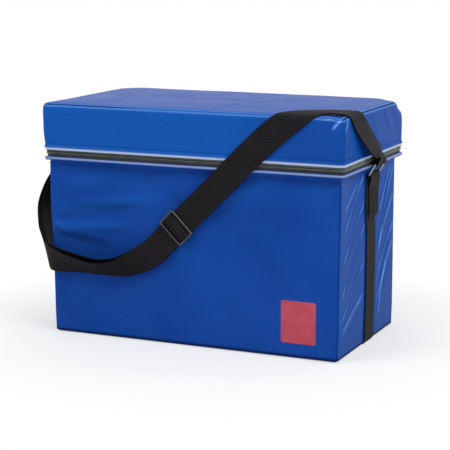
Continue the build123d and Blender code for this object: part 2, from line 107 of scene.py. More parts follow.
# ---- sizes of the cloth ----
body_radius = 5.0
hem_radius = 6.5
hinge_half, hinge_bottom, hinge_top = 204.8, 250.0, 272.0
board_bottom = 308.6
filament_radius = 0.30
piping_radius = 1.3
weave_across, weave_along = 0.0034, 0.0030       # metres, as the webbing's UVs are
cut_height = 266.0           # the strap's pieces are cut here, so that they part cleanly
side_x, front_y = half_width + overhang, half_depth + overhang


# ---- lines and directions ----
def unit(vectors):
    """The same directions at a length of 1."""
    return vectors / np.linalg.norm(vectors, axis=-1, keepdims=True)


def distances(points):
    """How far along its line each point lies."""
    return np.concatenate([[0], np.cumsum(np.linalg.norm(np.diff(points, axis=0), axis=1))])


def between(stops, steps, points):
    """Points in the plane at the stops of a line whose own points lie at the steps."""
    return np.column_stack([np.interp(stops, steps, points[:, i]) for i in (0, 1)])


def bell(distance, width):
    """1 where the distance is 0, falling away smoothly over the width."""
    return np.exp(-(distance / width) ** 2)


def at_height(points, z):
    """Points or directions in the plane, with z as their third coordinate."""
    return np.column_stack([points, np.full(len(points), z)])


def turned(degrees):
    """Cosines and sines of angles in degrees, in pairs."""
    return [(cos(a), sin(a)) for a in np.radians(degrees)]


# ---- meshes ----
def add_object(name, data):
    obj = bpy.data.objects.new(name, data)
    bpy.context.scene.collection.objects.link(obj)
    return obj


def face_outward(mesh, points):
    """Turn a closed mesh's faces over if they face into it."""
    mesh.calc_loop_triangles()
    corners = np.zeros(3 * len(mesh.loop_triangles), int)
    mesh.loop_triangles.foreach_get("vertices", corners)
    a, b, c = points[corners.reshape(-1, 3)].transpose(1, 0, 2)
    if np.einsum("ij,ij->", a, np.cross(b, c)) < 0:
        mesh.flip_normals()


def add_mesh(name, vertices, faces, slot, uv=None, values=None):
    """A smooth-shaded piece from vertices in millimetres; uv and values are one entry a vertex."""
    mesh = bpy.data.meshes.new(name)
    mesh.from_pydata((np.asarray(vertices) * MM).tolist(), [], faces)
    mesh.validate()
    face_outward(mesh, np.asarray(vertices, float))
    mesh.polygons.foreach_set("use_smooth", [True] * len(mesh.polygons))
    if uv is not None:
        layer = mesh.uv_layers.new(name="UVMap")
        corner_vertex = np.zeros(len(mesh.loops), int)
        mesh.loops.foreach_get("vertex_index", corner_vertex)
        layer.data.foreach_set("uv", np.asarray(uv, float)[corner_vertex].ravel())
    for key, value in (values or {}).items():
        layer = mesh.attributes.new(key, "FLOAT", "POINT")
        layer.data.foreach_set("value", np.asarray(value, float))
    obj = add_object(name, mesh)
    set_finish(obj, slot)
    return obj


def quads(rows, columns, wrap, start=0, flip=False, ends=False, around=False):
    """Faces of a grid whose vertices are stored row by row.

    wrap joins the last column to the first and around the last row; ends closes the outer rows.
    """
    faces = []
    for r in range(rows if around else rows - 1):
        here, above = start + r * columns, start + (r + 1) % rows * columns
        for c in range(columns if wrap else columns - 1):
            n = (c + 1) % columns
            faces.append((here + c, here + n, above + n, above + c))
    if ends:
        top = start + (rows - 1) * columns
        faces.append(tuple(reversed(range(start, start + columns))))
        faces.append(tuple(range(top, top + columns)))
    return [face[::-1] for face in faces] if flip else faces


def slab(name, front, back, slot, wrap=True, cap=False, uv=None, values=None):
    """Closed cloth between two grids of (rows, columns, 3); cap closes the last row across."""
    rows, columns = front.shape[:2]
    total = rows * columns
    faces = quads(rows, columns, wrap) + quads(rows, columns, wrap, total, flip=True)
    top = (rows - 1) * columns
    for c in range(columns if wrap else columns - 1):
        n = (c + 1) % columns
        faces.append((c, total + c, total + n, n))
        if not cap:
            faces.append((top + c, top + n, total + top + n, total + top + c))
    if cap:
        faces.append(tuple(range(top, total)))
        faces.append(tuple(reversed(range(total + top, 2 * total))))
    if not wrap:
        for r in range(rows - 1):
            a, b = r * columns, (r + 1) * columns
            faces.append((a, b, total + b, total + a))
            a, b = a + columns - 1, b + columns - 1
            faces.append((b, a, total + a, total + b))
    vertices = np.concatenate([front.reshape(-1, 3), back.reshape(-1, 3)])
    if uv is not None:
        uv = np.concatenate([uv.reshape(-1, 2)] * 2)
    values = {k: np.concatenate([v.ravel()] * 2) for k, v in (values or {}).items()}
    return add_mesh(name, vertices, faces, slot, uv, values)


def tube(name, path, radius, sides, slot, closed=False, seam=None):
    """Thread or piping of even thickness along a path; seam is how much painted shade darkens it.
    """
    path = np.asarray(path, float)
    run = unit(np.roll(path, -1, 0) - np.roll(path, 1, 0) if closed else np.gradient(path, axis=0))
    up = np.where(np.abs(run[:, 2:]) > 0.9, [[1.0, 0, 0]], [[0, 0, 1.0]])
    side = unit(np.cross(run, up))[:, None]
    other = np.cross(side[:, 0], run)[:, None]
    angles = (np.arange(sides) * 2 * pi / sides)[None, :, None]
    grid = path[:, None] + radius * (np.cos(angles) * side + np.sin(angles) * other)
    rows = len(path)
    faces = quads(rows, sides, True, flip=True, ends=not closed, around=closed)
    values = None if seam is None else {"seam": np.full(rows * sides, seam)}
    return add_mesh(name, grid.reshape(-1, 3), faces, slot, None, values)


def stitches(name, places, runs, outs, slot, width=0.34):
    """Thread stitches: short rounded dashes that lie on the cloth."""
    length = 2.6
    shape = [(-0.5, 0.35), (-0.36, 1.0), (0.36, 1.0), (0.5, 0.35)]
    sides = 6
    vertices, faces = [], []
    for place, run, out in zip(places, runs, outs):
        across = np.cross(out, run)
        base = len(vertices)
        for along, share in shape:
            for k in range(sides):
                a = 2 * pi * k / sides
                ring = width * share * (cos(a) * across + sin(a) * out)
                vertices.append(place + run * along * length + ring)
        faces += quads(len(shape), sides, True, base, ends=True)
    return add_mesh(name, vertices, faces, slot)


# ---- outlines round the box ----
corner_angles = np.radians([0, 12, 24, 33, 38, 41, 43, 45, 47, 49, 52, 57, 66, 78, 90])
wall_columns = (170, 140, 170, 140)


def radius_at(offset):
    """Corner radius of the solids at an offset from the body's walls."""
    return max(corner_radius + corner_growth * offset, 4.0)


def outline(offset, radius, inset=0.0):
    """Points (N, 2) and normals round a rounded rectangle, from the front left corner on.

    offset is from the body's walls, and inset is how far inside that the outline is drawn.
    """
    hx, hy = half_width + offset - inset, half_depth + offset - inset
    signs = [(-1, -1, pi), (1, -1, 1.5 * pi), (1, 1, 0.0), (-1, 1, 0.5 * pi)]
    points, normals = [], []
    for k, (sx, sy, start) in enumerate(signs):
        centre = np.array([sx * (hx - radius), sy * (hy - radius)])
        out = np.stack([np.cos(start + corner_angles), np.sin(start + corner_angles)], 1)
        points.append(centre + radius * out)
        normals.append(out)
        nx, ny, _ = signs[(k + 1) % 4]
        after = np.array([nx * (hx - radius), ny * (hy - radius)]) + radius * out[-1]
        t = np.linspace(0, 1, wall_columns[k] + 2)[1:-1, None]
        points.append(points[-1][-1] * (1 - t) + after * t)
        normals.append(np.repeat(out[-1:], wall_columns[k], 0))
    return np.concatenate(points), np.concatenate(normals)


def seam_columns():
    """How near each column of an outline is to a corner's seam: 1 on it, 0 away from it."""
    corner = bell(np.degrees(corner_angles) - 45, 3.2)
    return np.concatenate([part for count in wall_columns for part in (corner, np.zeros(count))])


# ---- how the cloth stands off its nominal surface ----
def ridges(points, lines):
    """Height of folds above the surface: each line is (start, end, height, width, bow)."""
    total = np.zeros(points.shape[:-1])
    for start, end, height, width, bow in lines:
        a, b = np.array(start, float), np.array(end, float)
        along = b - a
        length = np.linalg.norm(along)
        t = np.clip(((points - a) @ along) / length ** 2, 0, 1)
        centre = a + t[..., None] * along
        centre[..., 1] += bow * 4 * t * (1 - t)
        d = np.linalg.norm(points - centre, axis=-1)
        ends = np.clip(np.sin(pi * np.clip(t, 0.001, 0.999)), 0, 1) ** 0.5
        total += height * ends * (bell(d, width) - 0.30 * bell(d, 2.6 * width))
    return total


def slow_waves(points, size, seed):
    """Smooth uneven swelling between -1 and 1, with features about size across."""
    x, y, z = (points[..., i] / size for i in range(3))
    return (
        np.sin(2.1 * x + 1.3 * z + seed) + np.sin(1.7 * z - 0.9 * x + 2.2 * y + 1.7 * seed)
        + np.sin(2.9 * y + 1.9 * z + 0.6 * seed) + np.sin(3.7 * x - 2.3 * y + 2.9 * seed)
    ) / 4


def wall_lines(axis, wall, rows):
    """Lines for ridges on the face that stands at wall along an axis.

    Each row is a start and an end, in the face's own two coordinates, then height, width and bow.
    """
    lines = []
    for *ends, height, width, bow in rows:
        start, end = ends[:2], ends[2:]
        start.insert(axis, wall)
        end.insert(axis, wall)
        lines.append((start, end, height, width, bow))
    return lines


side_folds = wall_lines(0, half_width, [
    (-20, 241, -99, 172, 2.9, 2.9, -4),
    (-42, 233, -99, 201, 1.4, 4.5, -3),
    (-18, 203, -99, 132, 2.8, 3.0, -5),
    (-15, 172, -106, 84, 3.0, 3.1, -7),
    (-16, 121, -103, 54, 2.8, 3.0, -5),
    (-16, 77, -104, 35, 1.6, 4.5, -3),
    (98, 240, 48, 180, 2.7, 2.8, -3),
    (106, 236, 45, 123, 2.9, 3.1, -6),
    (108, 196, 44, 128, 1.7, 4.5, -4),
    (110, 154, 42, 92, 2.7, 3.6, -5),
    (108, 130, 40, 50, 1.9, 5.0, -5),
    (78, 104, 46, 28, 2.0, 3.6, -3),
])
left_folds = wall_lines(0, -half_width, [
    (-22, 232, -96, 168, 1.8, 4.6, -4),
    (-20, 176, -100, 96, 2.0, 5.0, -5),
    (-24, 112, -98, 44, 1.6, 5.2, -4),
    (100, 234, 46, 150, 1.8, 4.6, -4),
    (104, 170, 44, 84, 1.9, 5.0, -5),
    (96, 96, 48, 30, 1.5, 5.4, -3),
])
front_folds = wall_lines(1, -half_depth, [
    (-206, 176, -46, 204, 3.3, 9, 3),
    (-208, 150, -92, 164, 3.3, 7.5, 2),
    (-196, 216, -66, 230, 2.4, 9, 4),
    (10, 204, 120, 232, 1.6, 11, 0),
    (-212, 163, -190, 146, 1.6, 3.0, 0),
    (-212, 156, -186, 160, 1.4, 3.0, 0),
    (-60, 150, 30, 120, 1.2, 12, 0),
    (150, 225, 205, 232, 0.9, 8, 0),
    (120, 226, 196, 208, 0.5, 9, 0),
    (60, 196, 150, 132, 0.4, 15, 0),
    (-190, 60, -60, 34, 0.5, 13, 0),
    (-30, 96, 70, 70, 0.4, 16, 0),
])
# Lines of painted shade on the front, inside the strap's loop and below the lip; they only darken
# the colour and do not shape the cloth.
front_shade_lines = wall_lines(1, -half_depth, [
    (-196, 184, -70, 194, 0.50, 8, 2),
    (-212, 146, -122, 134, 0.85, 8, 2),
    (-150, 226, -20, 240, 0.30, 9, 2),
    (-30, 214, 16, 176, 0.35, 12, 0),
])
back_folds = wall_lines(1, half_depth, [
    (-160, 210, -30, 150, 0.9, 10, 0),
    (40, 190, 180, 120, 0.9, 11, 0),
    (-120, 90, 60, 50, 0.8, 12, 0),
])


def body_swell(points, normals):
    """Cover of the body: soft panels, folds, and pressed in under the webbing."""
    y, z = points[..., 1], points[..., 2]
    on_side = np.abs(normals[..., 0]) > 0.9
    rise = np.clip(z / 30, 0, 1) * np.clip((lip_bottom - z) / 14, 0.45, 1)
    swell = rise * (0.5 + 0.55 * slow_waves(points, 70, 0.7))
    swell += rise * ridges(points, side_folds + left_folds + front_folds + back_folds)
    pressed = on_side * np.clip(1.35 - np.abs(y - webbing_y) / 22, 0, 1) ** 0.5
    swell = swell * (1 - np.clip(pressed * 1.4, 0, 1)) - 0.1 * pressed
    return np.clip(swell, -0.7, 3.4)


lid_folds = wall_lines(2, lid_top, [
    (36, -112, 33, -76, 0.9, 3.4, 0),
    (33, -76, 37, -32, 0.9, 3.2, 0),
    (37, -32, 72, -3, 0.7, 3.4, 0),
    (-90, -70, -150, 20, 0.35, 9, 0),
    (110, 40, 170, 92, 0.4, 8, 0),
]) + wall_lines(0, side_x, [
    (40, 322, 84, 286, 0.9, 7, 0),
    (-10, 318, 24, 284, 0.7, 7, 0),
])
corner_pleats = [
    ((222, -124, 330), (207, -126, 313), 2.4, 2.2, 0),
    ((220, -125, 331), (196, -126, 325), 2.0, 1.8, 0),
    ((223, -108, 327), (223, -120, 309), 1.8, 2.2, 0),
]


def lid_swell(points, normals):
    """Cover of the lid: nearly flat where the strap lies, fuller elsewhere."""
    x, y, z = (points[..., i] for i in range(3))
    strap_side = bell(np.hypot(x - 185, y + 100), 85)
    rise = np.clip((z - hem - 6) / 14, 0, 1)
    swell = rise * (0.35 + 0.45 * slow_waves(points, 85, 2.3)) * (1 - 0.9 * strap_side)
    return np.clip(swell + rise * ridges(points, lid_folds + corner_pleats), -0.7, 2.6)


# ---- covers ----
class Skin:
    """The rows of a cover: its outer and inner side, and the values that its material reads."""

    def __init__(self):
        self.front, self.back, self.values = [], [], {}

    def add(self, front, back, **values):
        self.front.append(front)
        self.back.append(back)
        for key, value in values.items():
            self.values.setdefault(key, []).append(np.broadcast_to(value, len(front)))

    def close(self, name, cap=False):
        values = {key: np.array(rows) for key, rows in self.values.items()}
        return slab(name, np.array(self.front), np.array(self.back), "cover_fabric", cap=cap,
                    values=values)


lean_heights = (30, 60, 110, 135, 180, 246, 249.4)
body_leans = [
    # side, how far its front corner leans out at those heights, and over what distance
    (-1, (0, 0.4, 1.6, 2.4, 5.0, 5.2, 0.0), 40),
    (1, (0, 0.3, 0.6, 0.9, 1.6, 1.7, 0.0), 26),
]


def spread(points):
    """Body's front corners, which lean out towards the lip as the panels sag."""
    x, y, z = points.T
    moved = points.copy()
    for side, leans, reach in body_leans:
        near = bell(np.hypot(x - side * half_width, y + half_depth), reach)
        moved[:, 0] += side * np.interp(z, lean_heights, leans) * near
    return moved


def right_wall(normals):
    """1 on the wall that faces right, 0 elsewhere."""
    return np.clip((normals[:, 0] - 0.7) / 0.2, 0, 1)


def body_cover():
    """Walls of the body in one skin, seamed at the corners, from the base's seam to the lip."""
    edge = [(-corner_radius * (1 - c), corner_radius - corner_radius * s)
            for c, s in turned([24.6, 16, 8])]
    heights = [*np.linspace(corner_radius, lip_bottom - 0.3, 140), lip_bottom]
    seam = seam_columns()
    # Bands along the side and front folds where the cloth's colour is painted lighter, as painted
    # highlights.
    fold_light_bands = [(start, end, 1.0, 3.2 * width, bow) for start, end, _, width, bow in side_folds]
    fold_light_bands += [(start, end, min(height / 2.6, 1.0), 1.7 * width, bow)
                   for start, end, height, width, bow in front_folds]
    skin = Skin()
    for offset, z in edge + [(0.0, z) for z in heights]:
        flat, normal = outline(offset, body_radius)
        inner, _ = outline(offset - cover_thickness, body_radius)
        points = at_height(flat, z)
        out = at_height(normal, 0.0)
        swell = body_swell(points, out) - 0.9 * seam
        # Painted shade inside the strap's loop and below the lip.
        loop_shade = np.clip(ridges(points, front_shade_lines), 0, 1)
        skin.add(spread(points + out * swell[:, None]), spread(at_height(inner, z)),
                 # The seam value paints shade into the corner seams, the hollows of the front and
                 # along the base's edge.
                 seam=np.maximum(np.maximum(seam, loop_shade), bell(z - base_thickness, 2.0)),
                 # Painted highlights along the ridges of the side folds.
                 crease=np.clip(ridges(points, side_folds) / 1.9, 0, 1) ** 1.2,
                 # The wall that faces right is painted darker, as painted shade.
                 fresh=np.clip(ridges(points, fold_light_bands), 0, 1), deep=right_wall(normal))
    cover = skin.close("body_cover")
    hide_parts("front_panel", "back_panel", "left_side_panel", "right_side_panel")
    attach(cover, "root")


def seam_piping():
    """Bound seam between the walls and the base, painted dark as shade along the base's edge."""
    path, _ = outline(-0.7, body_radius)
    piping = tube("base_seam", at_height(path, base_thickness), piping_radius, 8,
                  "cover_fabric", closed=True, seam=0.9)
    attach(piping, "root")


def lip_roll():
    """Padded lip under the zip, with a rolled edge that carries a painted highlight."""
    section = [(0.3, 243.1), (0.3, 243.4), (0.5, 245.4), (1.0, 247.4), (2.2, 248.8), (4.4, 249.4),
               (6.6, 249.6), (8.1, 249.9), (8.8, 250.6), (9.15, 251.7), (9.1, 252.8), (8.6, 253.7),
               (7.8, 254.2), (6.9, 254.3), (3.7, 254.3), (3.6, 258.7), (-1.15, 258.7),
               (-1.15, 243.1)]
    rows, crest_highlight = [], []            # rows go round the section
    for offset, z in section:
        flat, normal = outline(offset, body_radius + 0.18 * max(offset, 0))
        points = at_height(flat, z)
        wave = (0.22 if offset > 6 else 0.0) * slow_waves(points, 26, 4.1)
        points += at_height(normal * wave[:, None], 0.0)
        rows.append(spread(flat_at_hinge(points)))
        # A painted highlight along the crest of the rolled lip.
        crest_highlight.append(np.full(len(points), 0.42 if offset > 8.2 and z > 251 else 0.0))
    faces = quads(len(rows), len(rows[0]), True, around=True)
    roll = add_mesh("lip_roll", np.concatenate(rows), faces, "cover_fabric",
                    values={"edge": np.concatenate(crest_highlight)})
    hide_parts("rim_lip")
    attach(roll, "root")


soft_corners = [
    # corner of the lid's box, how far it gives, and over what distance
    ((1, 1), 12.0, 20.0),
    ((1, -1), 5.0, 15.0),
    ((-1, 1), 6.0, 16.0),
    ((-1, -1), 0.8, 10.0),
]


def flat_at_hinge(points):
    """Keep a rolled edge clear of the hinge line along the back, and under the hinge cloth."""
    covered = np.clip((hinge_half + 6.2 - np.abs(points[:, 0])) / 4, 0, 1)
    kept = points.copy()
    kept[:, 1] = np.minimum(points[:, 1], front_y + 0.3 - 0.4 * covered)
    return kept


def soften(points):
    """Push the lid's top corners in, as the filling gives way there."""
    moved = points.copy()
    for (sx, sy), give, reach in soft_corners:
        away = (points - np.array([sx * side_x, sy * front_y, lid_top])) * np.array([1, 1, 1.4])
        near = bell(np.linalg.norm(away, axis=-1), reach)
        moved -= near[..., None] * give * np.array([sx, sy, 1.0]) / 3 ** 0.5
    return moved


def lid_board():
    """The lid's insulation board, which gives way with the cover at the corners."""
    offset, top = overhang - cover_thickness - 0.2, lid_top - cover_thickness - 0.2
    edge = lid_edge_radius - cover_thickness - 0.2
    section = [(offset, z) for z in np.linspace(board_bottom, top - edge, 9)]
    section += [(offset - edge + edge * c, top - edge + edge * s)
                for c, s in turned([15, 30, 45, 60, 75, 90])]
    rows = [soften(at_height(outline(o, radius_at(offset))[0], z)) for o, z in section]
    faces = quads(len(rows), len(rows[0]), True, ends=True)
    board = add_mesh("lid_board", np.concatenate(rows), faces, "insulation_foam")
    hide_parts("lid_foam_board")
    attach(board, "lid")


def lid_cover():
    """Skirt with a rolled hem, the seam round the top edge, and the top panel."""
    hem_roll = [(7.5, 263.9), (8.3, 264.1), (8.65, 264.9), (8.7, 266.5), (9.2, 267.3),
                (9.35, 268.4), (9.0, 269.5), (8.3, 270.2), (8.0, 271.2), (8.0, 272.6)]
    wall = [(overhang, z) for z in np.linspace(275, lid_top - lid_edge_radius, 22)]
    edge_centre = overhang - lid_edge_radius
    edge = np.radians([8, 16, 24, 31, 37, 40, 42.5, 44, 45, 46, 47.5, 50, 54, 60, 67, 74, 82])
    skin = Skin()

    def lean(points):
        """Front left corner of the lid, pulled out a little towards the top."""
        x, y, z = points.T
        moved = points.copy()
        moved[:, 0] -= bell(np.hypot(x + side_x, y + front_y), 30) * np.interp(
            z, (267, 274, 290, 330), (0.0, 1.4, 2.6, 3.4))
        return moved

    def put(points, out, rise, thickness, **values):
        """Add a row that stands off its points by the lid's swell and a rise of its own."""
        swell = (lid_swell(points, out) + rise)[:, None]
        skin.add(lean(soften(flat_at_hinge(points + out * swell))),
                 lean(soften(points - out * thickness)), **values)

    def row(offset, z, radius, up, past=9.0, light=0.0):
        """One row of the cover; past is how far it lies beyond the top edge's seam, and light is
        how much painted highlight the hem roll has there.
        """
        flat, normal = outline(offset, radius)
        points = at_height(flat, z)
        out = unit(at_height(normal * (1 - up), up))
        faint = (points[:, 1] < -half_depth) * np.clip((points[:, 0] + 125) / 70, 0, 0.85)
        ridge = 0.55 * bell(abs(past) - 1.5, 0.9) - bell(past, 0.45)
        thickness = offset + cover_thickness - overhang if up == 0 else cover_thickness
        # How far the lid's painted light fades towards its right side.
        shaded = np.clip((points[:, 0] - 60) / 120, 0, 0.7)
        # Painted highlights on the corner pleats, and beside the top edge's seam in the value
        # below.
        pleat_highlight = np.clip(ridges(points, corner_pleats) / 1.5, 0, 1) ** 1.3
        put(points, out, ridge * (1 - faint), thickness,
            # Painted shade along the top edge's seam, fainter towards the right.
            seam=bell(past, 0.75) * (1 - faint), edge=light,
            fresh=min(1.0, 1.3 - up) * (1 - shaded),
            crease=pleat_highlight + 0.38 * bell(abs(past) - 2.0, 1.3),
            # The lid's right wall is painted darker, as painted shade.
            deep=right_wall(normal) * (1 - up))

    for offset, z in hem_roll + wall:
        # The lower part of the hem roll carries a painted highlight.
        row(offset, z, hem_radius, 0.0, light=float(np.clip((267.6 - z) / 0.8, 0, 1)))
    for a in edge:
        past = (np.degrees(a) - 45) * lid_edge_radius * pi / 180
        offset = edge_centre + lid_edge_radius * cos(a)
        row(offset, lid_top - lid_edge_radius + lid_edge_radius * sin(a),
            max(hem_radius + offset - overhang, 1.5),
            float(np.clip(0.5 + past / (2 * lid_edge_radius), 0.05, 0.95)), past)
    inset_end = half_depth + edge_centre - 3.0
    for share in np.linspace(0, 1, 54):
        inset = inset_end * share ** 1.15
        flat, _ = outline(edge_centre, 1.5, inset)
        points = at_height(flat, lid_top)
        out = np.tile([0.0, 0, 1.0], (len(points), 1))
        dome = 1.3 * np.clip(inset / 60, 0, 1) ** 0.7
        dome = dome * (1 - bell(np.hypot(points[:, 0] - 190, points[:, 1] + 95), 80))
        put(points, out, dome, cover_thickness, seam=0.0, edge=0.0, fresh=0.3, crease=0.0, deep=0.0)
    cover = skin.close("lid_cover", cap=True)
    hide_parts("lid_top_panel", "lid_skirt", "lid_back_skirt")
    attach(cover, "lid")


def edge_stitching(name, body, offset, z):
    """A row of stitches along the lip or the hem."""
    flat, normal = (np.vstack([line, line[:1]]) for line in outline(offset, hem_radius))
    steps = distances(flat)
    stops = np.arange(0, steps[-1], 4.0)
    places = at_height(between(stops, steps, flat), z)
    outs = unit(at_height(between(stops, steps, normal), 0.0))
    runs = np.column_stack([-outs[:, 1], outs[:, 0], np.zeros(len(outs))])
    row = stitches(name, places, runs, outs, "cover_fabric")
    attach(row, body)


# ---- zip ----
def zip_path(offset, step):
    """Points and normals at even steps from the rear left round the front to the rear right."""
    r = radius_at(offset)
    hx, hy = half_width + offset - r, half_depth + offset - r
    end = half_width - corner_radius
    points, normals = [(-end, half_depth + offset)], [(0.0, 1.0)]
    for cx, cy, start in ((-hx, hy, 90), (-hx, -hy, 180), (hx, -hy, 270), (hx, hy, 360)):
        for c, s in turned(np.linspace(start, start + 90, 40)):
            points.append((cx + r * c, cy + r * s))
            normals.append((c, s))
    points = np.array(points + [(end, half_depth + offset)])
    normals = np.array(normals + [(0.0, 1.0)])
    steps = distances(points)
    stops = np.linspace(0, steps[-1], int(steps[-1] / step) + 1)
    return between(stops, steps, points), unit(between(stops, steps, normals)), stops


def zip_tape(name, node, body, bottom, top):
    place, out, stops = zip_path(tape_outer, 4.0)
    heights = np.linspace(bottom, top, 6)
    front = np.array([at_height(place, z) for z in heights])
    inner = place - out * (tape_outer - tape_inner)
    back = np.array([at_height(inner, z) for z in heights])
    uv = np.array([np.column_stack([stops, np.full(len(stops), z)]) for z in heights]) * MM
    tape = slab(name, front, back, "zip_tape", wrap=False, uv=uv)
    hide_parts(node)
    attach(tape, body)


def zip_coil(name, node, body, middle):
    """One half of the coil: a nylon filament wound along the tape's edge."""
    pitch, samples = 1.6, 8
    place, out, stops = zip_path(tape_outer, pitch / samples)
    turn = 2 * pi * stops / pitch
    depth = 0.86 + 0.54 * np.cos(turn)
    path = np.column_stack([place + out * depth[:, None], middle + 1.02 * np.sin(turn)])
    coil = tube(name, path, filament_radius, 5, "zip_coil")
    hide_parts(node)
    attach(coil, body)


def hinge_cloth():
    """Strip across the back that joins the lip to the lid's skirt."""
    xs = np.linspace(-hinge_half, hinge_half, 120)
    zs = np.linspace(hinge_bottom, hinge_top, 26)
    grid = np.array([[(x, front_y + 0.8, z) for x in xs] for z in zs])
    back = grid - np.array([0, 0.75, 0])
    grid[..., 1] += 0.3 * slow_waves(grid, 24, 1.1)
    strip = slab("hinge_cloth", grid, back, "cover_fabric", wrap=False)
    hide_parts("hinge_tape")
    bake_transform(strip)


# ---- liners and label ----
def liner(name, node, body, seed, lift, flange, wall, turns):
    """Film liner: a flange (z, last offset, rows), a wall (offset, first z, last z, rows), a floor.

    Turns are (offset, z, outward step, z step); the steps and lift point to its hidden side.
    """
    z, last, count = flange
    profile = [(offset, z, 0.0, lift) for offset in np.linspace(3.3, last, count)] + turns[:1]
    offset, *ends, count = wall
    profile += [(offset, z, 1.0, 0.0) for z in np.linspace(*ends, count)] + turns[1:]
    front, back = [], []

    def add(flat, z, out, loose=1.0):
        points = at_height(flat, z)
        wave = 0.35 * slow_waves(points, 34, seed) * loose
        front.append(points - out * (0.4 + 0.9 * wave)[:, None])
        back.append(points + out * 0.45)

    for offset, z, side, lift in profile:
        flat, normal = outline(offset, radius_at(offset))
        add(flat, z, at_height(normal * side, lift), 0.0 if lift and offset > -20 else 1.0)
    for share in np.linspace(0.05, 1, 22):
        inset = (half_depth + offset - 4.5) * share
        add(outline(offset, max(4.0 - inset, 1.5), inset)[0], z, np.array([0, 0, lift]))
    cloth = slab(name, np.array(front), np.array(back), "liner", cap=True)
    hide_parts(node)
    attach(cloth, body)


def label():
    """Bare coloured patch, heat-cut, that follows the front cover's swell."""
    lx, lz = label_centre
    w, h = label_size[0] / 2, label_size[1] / 2
    rows, backs = [], []
    for inset in (0.0, 0.25, 0.8, 2.0, 5.0, 9.0, 13.0, 17.0, 21.0, 24.0):
        corner = max(label_corner - inset, 0.4)
        ring = []
        for k, (sx, sz) in enumerate(((-1, -1), (1, -1), (1, 1), (-1, 1))):
            for a in np.linspace(pi + k * pi / 2, 1.5 * pi + k * pi / 2, 7):
                ring.append((lx + sx * (w - inset - corner) + corner * cos(a), -half_depth,
                             lz + sz * (h - inset - corner) + corner * sin(a)))
        ring, out = np.array(ring), np.array([0, -1.0, 0])
        swell = body_swell(ring, np.tile(out, (len(ring), 1)))
        rise = 0.30 + 0.15 * min(inset / 0.8, 1)
        rows.append(ring + out * (swell + rise)[:, None])
        backs.append(ring + out * (swell + 0.02)[:, None])
    patch = slab("label_cloth", np.array(rows), np.array(backs), "label", cap=True)
    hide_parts("label_patch")
    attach(patch, "root")


# ---- webbing ----
def smooth_path(stations, step=2.0):
    """Centres and rulings at about even steps along a smooth line through the stations."""
    centres, rulings = (np.array(part, float) for part in zip(*stations))
    both = np.hstack([centres, unit(rulings)])
    knots = distances(centres)
    slopes = np.zeros_like(both)
    for i in range(len(both)):
        a, b = max(i - 1, 0), min(i + 1, len(both) - 1)
        if 0 < i < len(both) - 1:
            before, after = knots[i] - knots[a], knots[b] - knots[i]
            slopes[i] = (both[i] - both[a]) / before * after + (both[b] - both[i]) / after * before
            slopes[i] /= before + after
        else:
            slopes[i] = (both[b] - both[a]) / (knots[b] - knots[a])
    out, marks = [], [0]
    for i in range(len(both) - 1):
        span = knots[i + 1] - knots[i]
        count = max(1, int(round(span / step)))
        for t in np.arange(count) / count:
            out.append((2 * t ** 3 - 3 * t ** 2 + 1) * both[i]
                       + (t ** 3 - 2 * t ** 2 + t) * span * slopes[i]
                       + (-2 * t ** 3 + 3 * t ** 2) * both[i + 1]
                       + (t ** 3 - t ** 2) * span * slopes[i + 1])
        marks.append(len(out))
    out.append(both[-1])
    out = np.array(out)
    return out[:, :3], out[:, 3:], marks


def webbing_grids(centres, rulings, camber=0.25):
    """Front and back grids of a strip of webbing with rounded selvedges, and its UVs in metres."""
    across = unit(rulings)
    square = np.cross(across, unit(np.gradient(centres, axis=0)))
    size = np.linalg.norm(square, axis=1, keepdims=True)
    half = across * (webbing_half / np.maximum(size, 0.5))
    face = square / size
    t = np.array([-1, -0.985, -0.94, -0.8, -0.55, -0.28, 0, 0.28, 0.55, 0.8, 0.94, 0.985, 1.0])
    thick = webbing_thickness / 2 * np.array([0.35, 0.8] + [1] * 9 + [0.8, 0.35])
    bow = camber * (1 - t ** 2) - camber / 2
    middle = centres[:, None] - half[:, None] * t[None, :, None]
    front = middle + face[:, None] * (thick + bow)[None, :, None]
    back = middle + face[:, None] * (bow - thick)[None, :, None]
    along = distances(centres)
    uv = np.stack(np.broadcast_arrays(t[None, :] * webbing_half, along[:, None]), -1) * MM
    return front, back, uv, along


def loop(bar, degrees, facing):
    """Stations round a ring's bar, of (x, z)."""
    return [((bar[0] + loop_radius * c, webbing_y, bar[1] + loop_radius * s), (0, facing, 0))
            for c, s in turned(degrees)]


def on_glide(along, back):
    """A station across the adjuster, back from its front."""
    return glide_centre + glide_along * along + (0, back, 0), glide_across


